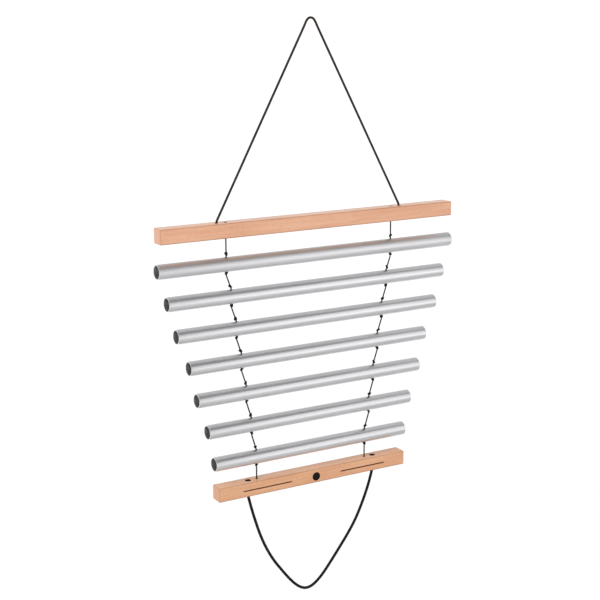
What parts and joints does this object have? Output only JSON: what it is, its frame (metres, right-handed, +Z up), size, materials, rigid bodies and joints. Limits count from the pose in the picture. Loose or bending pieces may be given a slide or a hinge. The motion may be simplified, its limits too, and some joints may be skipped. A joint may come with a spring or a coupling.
{
  "type": "bar chime",
  "caption": "Hanging chime of tuned aluminium tubes strung in a ladder on knotted cords between two wooden bars, with a hanging loop above and a hand loop below.",
  "frame": {"origin": "the point under the hanging loop's apex where it rests on its hook", "axes": "+X along the tubes, -Y to the front, +Z up"},
  "size_m": [0.404, 0.0176, 0.7087],
  "materials": {
    "beech": "fine sanded, lightly oiled",
    "aluminium": "satin, drawn along the tube, cut ends bright",
    "loop_cord": "tightly braided cord, matt",
    "thin_cord": "waxed twisted cord"
  },
  "bodies": {
    "hanging_loop": {"hanging_loop": "loop_cord"},
    "top_bar": {"top_bar": "beech", "loop_end_left": "loop_cord", "loop_end_right": "loop_cord", "cord_head_left": "thin_cord", "cord_head_right": "thin_cord"},
    "span_1": {"span_1_left": "thin_cord", "span_1_right": "thin_cord"},
    "tube_1": {"tube_1": "aluminium", "tube_cord_1_left": "thin_cord", "tube_cord_1_right": "thin_cord"},
    "span_2": {"span_2_left": "thin_cord", "span_2_right": "thin_cord"},
    "tube_2": {"tube_2": "aluminium", "tube_cord_2_left": "thin_cord", "tube_cord_2_right": "thin_cord"},
    "span_3": {"span_3_left": "thin_cord", "span_3_right": "thin_cord"},
    "tube_3": {"tube_3": "aluminium", "tube_cord_3_left": "thin_cord", "tube_cord_3_right": "thin_cord"},
    "span_4": {"span_4_left": "thin_cord", "span_4_right": "thin_cord"},
    "tube_4": {"tube_4": "aluminium", "tube_cord_4_left": "thin_cord", "tube_cord_4_right": "thin_cord"},
    "span_5": {"span_5_left": "thin_cord", "span_5_right": "thin_cord"},
    "tube_5": {"tube_5": "aluminium", "tube_cord_5_left": "thin_cord", "tube_cord_5_right": "thin_cord"},
    "span_6": {"span_6_left": "thin_cord", "span_6_right": "thin_cord"},
    "tube_6": {"tube_6": "aluminium", "tube_cord_6_left": "thin_cord", "tube_cord_6_right": "thin_cord"},
    "span_7": {"span_7_left": "thin_cord", "span_7_right": "thin_cord"},
    "tube_7": {"tube_7": "aluminium", "tube_cord_7_left": "thin_cord", "tube_cord_7_right": "thin_cord"},
    "span_8": {"span_8_left": "thin_cord", "span_8_right": "thin_cord"},
    "bottom_bar": {"bottom_bar": "beech", "cord_foot_left": "thin_cord", "cord_foot_right": "thin_cord", "hand_loop_end_left": "loop_cord", "hand_loop_end_right": "loop_cord"},
    "hand_loop": {"hand_loop": "loop_cord"}
  },
  "joints": [
    {"name": "top_bar_tilt", "type": "hinge", "parent": "hanging_loop", "child": "top_bar", "pos_m": [0, 0, -0.226], "axis": [-1, 0, 0], "range_deg": [-45, 45]},
    {"name": "span_1_swing", "type": "hinge", "parent": "top_bar", "child": "span_1", "pos_m": [0, 0, -0.2455], "axis": [1, 0, 0], "range_deg": [-60, 60]},
    {"name": "tube_1_roll", "type": "hinge", "parent": "span_1", "child": "tube_1", "pos_m": [0, 0, -0.2678], "axis": [-1, 0, 0], "range_deg": [-60, 60]},
    {"name": "span_2_swing", "type": "hinge", "parent": "tube_1", "child": "span_2", "pos_m": [0, 0, -0.28963], "axis": [1, 0, 0], "range_deg": [-60, 60]},
    {"name": "tube_2_roll", "type": "hinge", "parent": "span_2", "child": "tube_2", "pos_m": [0, 0, -0.3066], "axis": [-1, 0, 0], "range_deg": [-60, 60]},
    {"name": "span_3_swing", "type": "hinge", "parent": "tube_2", "child": "span_3", "pos_m": [0, 0, -0.32843], "axis": [1, 0, 0], "range_deg": [-60, 60]},
    {"name": "tube_3_roll", "type": "hinge", "parent": "span_3", "child": "tube_3", "pos_m": [0, 0, -0.3459], "axis": [-1, 0, 0], "range_deg": [-60, 60]},
    {"name": "span_4_swing", "type": "hinge", "parent": "tube_3", "child": "span_4", "pos_m": [0, 0, -0.36773], "axis": [1, 0, 0], "range_deg": [-60, 60]},
    {"name": "tube_4_roll", "type": "hinge", "parent": "span_4", "child": "tube_4", "pos_m": [0, 0, -0.3857], "axis": [-1, 0, 0], "range_deg": [-60, 60]},
    {"name": "span_5_swing", "type": "hinge", "parent": "tube_4", "child": "span_5", "pos_m": [0, 0, -0.40753], "axis": [1, 0, 0], "range_deg": [-60, 60]},
    {"name": "tube_5_roll", "type": "hinge", "parent": "span_5", "child": "tube_5", "pos_m": [0, 0, -0.426], "axis": [-1, 0, 0], "range_deg": [-60, 60]},
    {"name": "span_6_swing", "type": "hinge", "parent": "tube_5", "child": "span_6", "pos_m": [0, 0, -0.44783], "axis": [1, 0, 0], "range_deg": [-60, 60]},
    {"name": "tube_6_roll", "type": "hinge", "parent": "span_6", "child": "tube_6", "pos_m": [0, 0, -0.4668], "axis": [-1, 0, 0], "range_deg": [-60, 60]},
    {"name": "span_7_swing", "type": "hinge", "parent": "tube_6", "child": "span_7", "pos_m": [0, 0, -0.48863], "axis": [1, 0, 0], "range_deg": [-60, 60]},
    {"name": "tube_7_roll", "type": "hinge", "parent": "span_7", "child": "tube_7", "pos_m": [0, 0, -0.5081], "axis": [-1, 0, 0], "range_deg": [-60, 60]},
    {"name": "span_8_swing", "type": "hinge", "parent": "tube_7", "child": "span_8", "pos_m": [0, 0, -0.52993], "axis": [1, 0, 0], "range_deg": [-60, 60]},
    {"name": "bottom_bar_roll", "type": "hinge", "parent": "span_8", "child": "bottom_bar", "pos_m": [0, 0, -0.544], "axis": [-1, 0, 0], "range_deg": [-60, 60]},
    {"name": "hand_loop_swing", "type": "hinge", "parent": "bottom_bar", "child": "hand_loop", "pos_m": [0, 0, -0.5653], "axis": [1, 0, 0], "range_deg": [-75, 75]}
  ]
}
